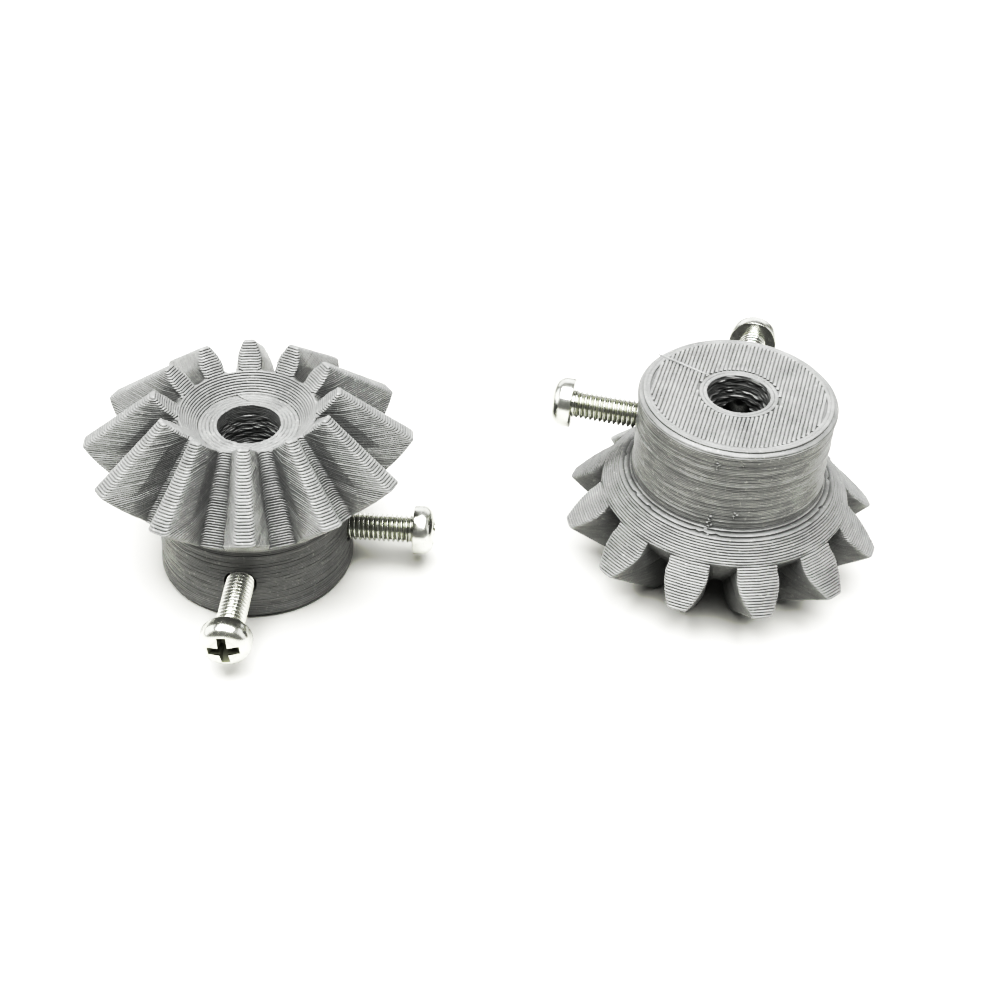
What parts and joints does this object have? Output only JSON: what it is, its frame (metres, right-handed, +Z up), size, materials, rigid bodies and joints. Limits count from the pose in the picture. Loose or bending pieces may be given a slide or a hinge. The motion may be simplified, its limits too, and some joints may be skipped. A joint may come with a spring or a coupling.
{
  "type": "printed bevel gear pair with set screws",
  "caption": "Identical printed straight bevel gears, one upright and one inverted, each with a long hub, a plain shaft bore and side-mounted pan-head clamping screws.",
  "frame": {"origin": "centre of the bore at the end face of gear A's hub, on the surface that both gears stand on", "axes": "+Z up along both bores, which are parallel; +X from gear A towards gear B, along gear A's side screw; gear A's front screw points along -Y"},
  "size_m": [0.0827, 0.0438, 0.0215],
  "materials": {
    "printed_plastic": "satin grey filament with visible print layers",
    "plated_steel": "bright zinc plating"
  },
  "bodies": {
    "gear_a": {"bevel_gear_a": "printed_plastic"},
    "gear_b": {"bevel_gear_b": "printed_plastic"},
    "screw_a_front": {"set_screw_a_front": "plated_steel"},
    "screw_a_side": {"set_screw_a_side": "plated_steel"},
    "screw_b_side": {"set_screw_b_side": "plated_steel"},
    "screw_b_rear": {"set_screw_b_rear": "plated_steel"}
  },
  "joints": [
    {"name": "gear_b_spin", "type": "hinge", "parent": "gear_a", "child": "gear_b", "pos_m": [0.0494, 0.0047, 0.0215], "axis": [0, 0, 1], "continuous": true},
    {"name": "screw_a_front_drive", "type": "slide", "parent": "gear_a", "child": "screw_a_front", "axis": [0, 1, 0], "range_m": [-0.0033, 0.0023]},
    {"name": "screw_a_side_drive", "type": "slide", "parent": "gear_a", "child": "screw_a_side", "axis": [-1, 0, 0], "range_m": [-0.004, 0.0016]},
    {"name": "screw_b_side_drive", "type": "slide", "parent": "gear_b", "child": "screw_b_side", "axis": [0.9816, -0.1908, 0], "range_m": [-0.004, 0.0016]},
    {"name": "screw_b_rear_drive", "type": "slide", "parent": "gear_b", "child": "screw_b_rear", "axis": [-0.1908, -0.9816, 0], "range_m": [-0.004, 0.0016]}
  ]
}
